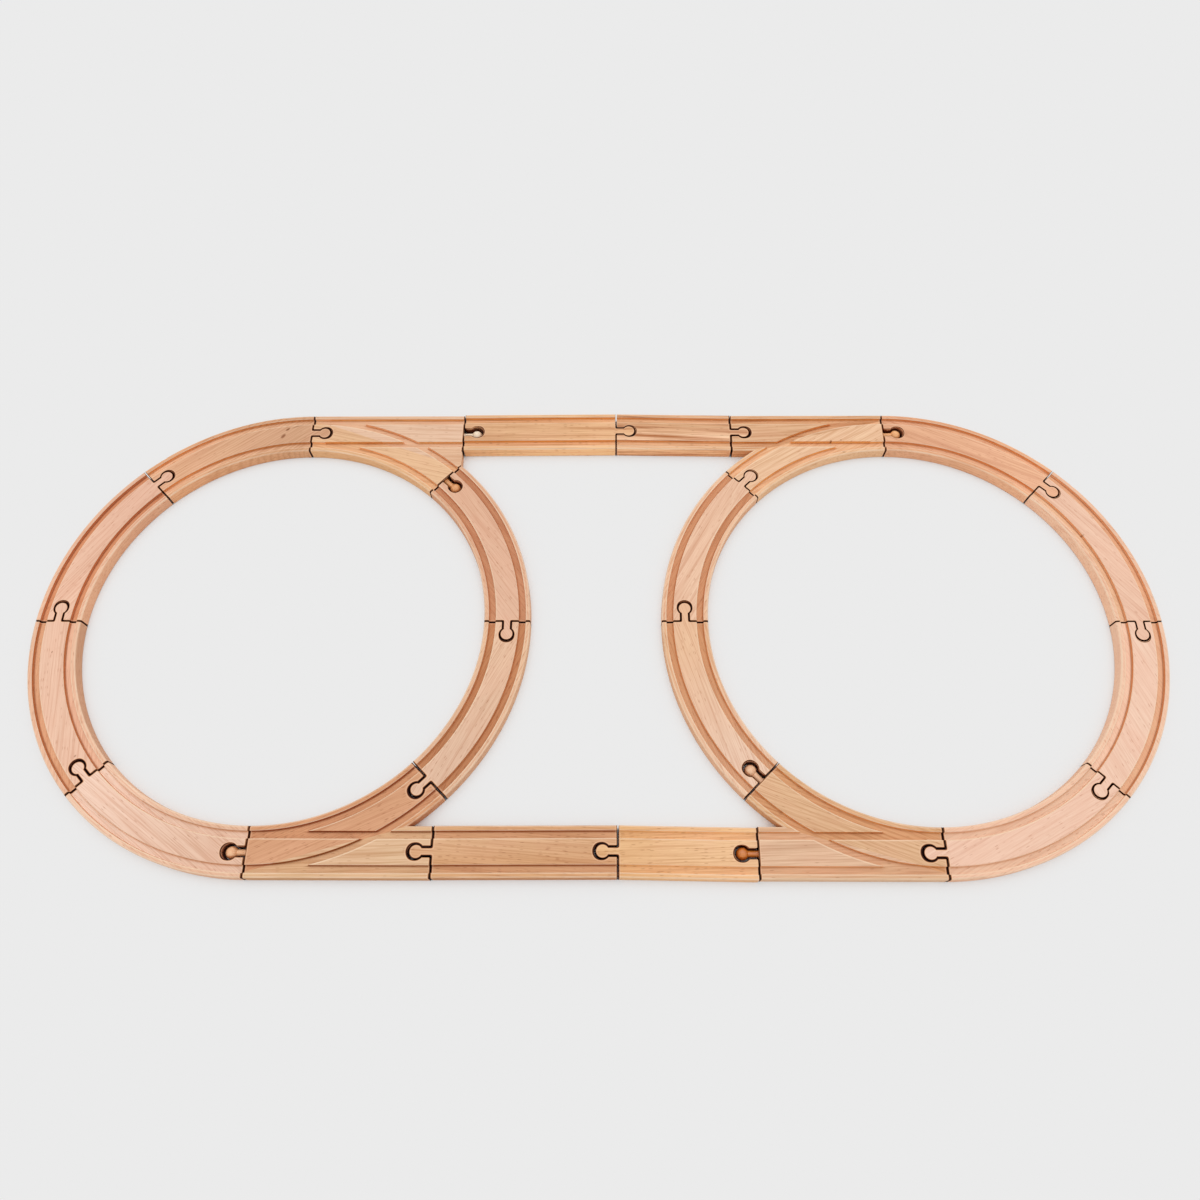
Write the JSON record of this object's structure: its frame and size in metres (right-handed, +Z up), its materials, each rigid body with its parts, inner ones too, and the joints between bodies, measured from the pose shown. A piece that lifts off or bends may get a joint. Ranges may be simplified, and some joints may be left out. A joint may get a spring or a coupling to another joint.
{
  "type": "wooden train track",
  "caption": "Wooden toy train track laid flat: round loops joined by straight rows through switches, grooved boards hooked together by round-headed tongues and turned pegs.",
  "frame": {"origin": "on the floor, midway between the centres of the loops and between the rows", "axes": "+X along the rows to the right as pictured, +Y towards the back row, +Z up off the floor"},
  "size_m": [0.9736, 0.4327, 0.012],
  "materials": {
    "beech": "fine-sanded bare beech",
    "pink_beech": "fine-sanded bare beech",
    "yellow_beech": "fine-sanded bare beech",
    "brown_beech": "fine-sanded bare beech",
    "pale_wood": "turned wood peg",
    "dark_wood": "turned wood peg"
  },
  "bodies": {
    "curve_left_back": {"curve_left_back": "beech"},
    "curve_left_outer_back": {"curve_left_outer_back": "pink_beech"},
    "curve_left_outer_front": {"curve_left_outer_front": "pink_beech"},
    "curve_left_front": {"curve_left_front": "pink_beech"},
    "curve_left_inner_front": {"curve_left_inner_front": "beech"},
    "curve_left_inner_back": {"curve_left_inner_back": "beech"},
    "curve_right_back": {"curve_right_back": "pink_beech"},
    "curve_right_outer_back": {"curve_right_outer_back": "pink_beech"},
    "curve_right_outer_front": {"curve_right_outer_front": "pink_beech"},
    "curve_right_front": {"curve_right_front": "pink_beech"},
    "curve_right_inner_front": {"curve_right_inner_front": "beech"},
    "curve_right_inner_back": {"curve_right_inner_back": "beech"},
    "straight_back_long": {"straight_back_long": "yellow_beech"},
    "straight_back_short": {"straight_back_short": "brown_beech"},
    "straight_front_long": {"straight_front_long": "brown_beech"},
    "straight_front_short": {"straight_front_short": "yellow_beech"},
    "switch_front_left": {"switch_front_left_main": "yellow_beech", "switch_front_left_branch": "brown_beech", "switch_front_left_peg": "pale_wood"},
    "switch_back_left": {"switch_back_left_main": "beech", "switch_back_left_branch": "beech", "switch_back_left_peg_main": "pale_wood", "switch_back_left_peg_branch": "pale_wood"},
    "switch_back_right": {"switch_back_right_main": "yellow_beech", "switch_back_right_branch": "yellow_beech", "switch_back_right_peg": "pale_wood"},
    "switch_front_right": {"switch_front_right_main": "pink_beech", "switch_front_right_branch": "yellow_beech", "switch_front_right_peg_main": "dark_wood", "switch_front_right_peg_branch": "dark_wood"}
  },
  "joints": [
    {"name": "lift_curve_left_back", "type": "slide", "parent": "switch_front_left", "child": "curve_left_back", "axis": [0, 0, 1], "range_m": [0, 0.03]},
    {"name": "lift_curve_left_outer_back", "type": "slide", "parent": "switch_front_left", "child": "curve_left_outer_back", "axis": [0, 0, 1], "range_m": [0, 0.03]},
    {"name": "lift_curve_left_outer_front", "type": "slide", "parent": "switch_front_left", "child": "curve_left_outer_front", "axis": [0, 0, 1], "range_m": [0, 0.03]},
    {"name": "lift_curve_left_front", "type": "slide", "parent": "switch_front_left", "child": "curve_left_front", "axis": [0, 0, 1], "range_m": [0, 0.03]},
    {"name": "lift_curve_left_inner_front", "type": "slide", "parent": "switch_front_left", "child": "curve_left_inner_front", "axis": [0, 0, 1], "range_m": [0, 0.03]},
    {"name": "lift_curve_left_inner_back", "type": "slide", "parent": "switch_front_left", "child": "curve_left_inner_back", "axis": [0, 0, 1], "range_m": [0, 0.03]},
    {"name": "lift_curve_right_back", "type": "slide", "parent": "switch_front_left", "child": "curve_right_back", "axis": [0, 0, 1], "range_m": [0, 0.03]},
    {"name": "lift_curve_right_outer_back", "type": "slide", "parent": "switch_front_left", "child": "curve_right_outer_back", "axis": [0, 0, 1], "range_m": [0, 0.03]},
    {"name": "lift_curve_right_outer_front", "type": "slide", "parent": "switch_front_left", "child": "curve_right_outer_front", "axis": [0, 0, 1], "range_m": [0, 0.03]},
    {"name": "lift_curve_right_front", "type": "slide", "parent": "switch_front_left", "child": "curve_right_front", "axis": [0, 0, 1], "range_m": [0, 0.03]},
    {"name": "lift_curve_right_inner_front", "type": "slide", "parent": "switch_front_left", "child": "curve_right_inner_front", "axis": [0, 0, 1], "range_m": [0, 0.03]},
    {"name": "lift_curve_right_inner_back", "type": "slide", "parent": "switch_front_left", "child": "curve_right_inner_back", "axis": [0, 0, 1], "range_m": [0, 0.03]},
    {"name": "lift_straight_back_long", "type": "slide", "parent": "switch_front_left", "child": "straight_back_long", "axis": [0, 0, 1], "range_m": [0, 0.03]},
    {"name": "lift_straight_back_short", "type": "slide", "parent": "switch_front_left", "child": "straight_back_short", "axis": [0, 0, 1], "range_m": [0, 0.03]},
    {"name": "lift_straight_front_long", "type": "slide", "parent": "switch_front_left", "child": "straight_front_long", "axis": [0, 0, 1], "range_m": [0, 0.03]},
    {"name": "lift_straight_front_short", "type": "slide", "parent": "switch_front_left", "child": "straight_front_short", "axis": [0, 0, 1], "range_m": [0, 0.03]},
    {"name": "lift_switch_back_left", "type": "slide", "parent": "switch_front_left", "child": "switch_back_left", "axis": [0, 0, 1], "range_m": [0, 0.03]},
    {"name": "lift_switch_back_right", "type": "slide", "parent": "switch_front_left", "child": "switch_back_right", "axis": [0, 0, 1], "range_m": [0, 0.03]},
    {"name": "lift_switch_front_right", "type": "slide", "parent": "switch_front_left", "child": "switch_front_right", "axis": [0, 0, 1], "range_m": [0, 0.03]}
  ]
}
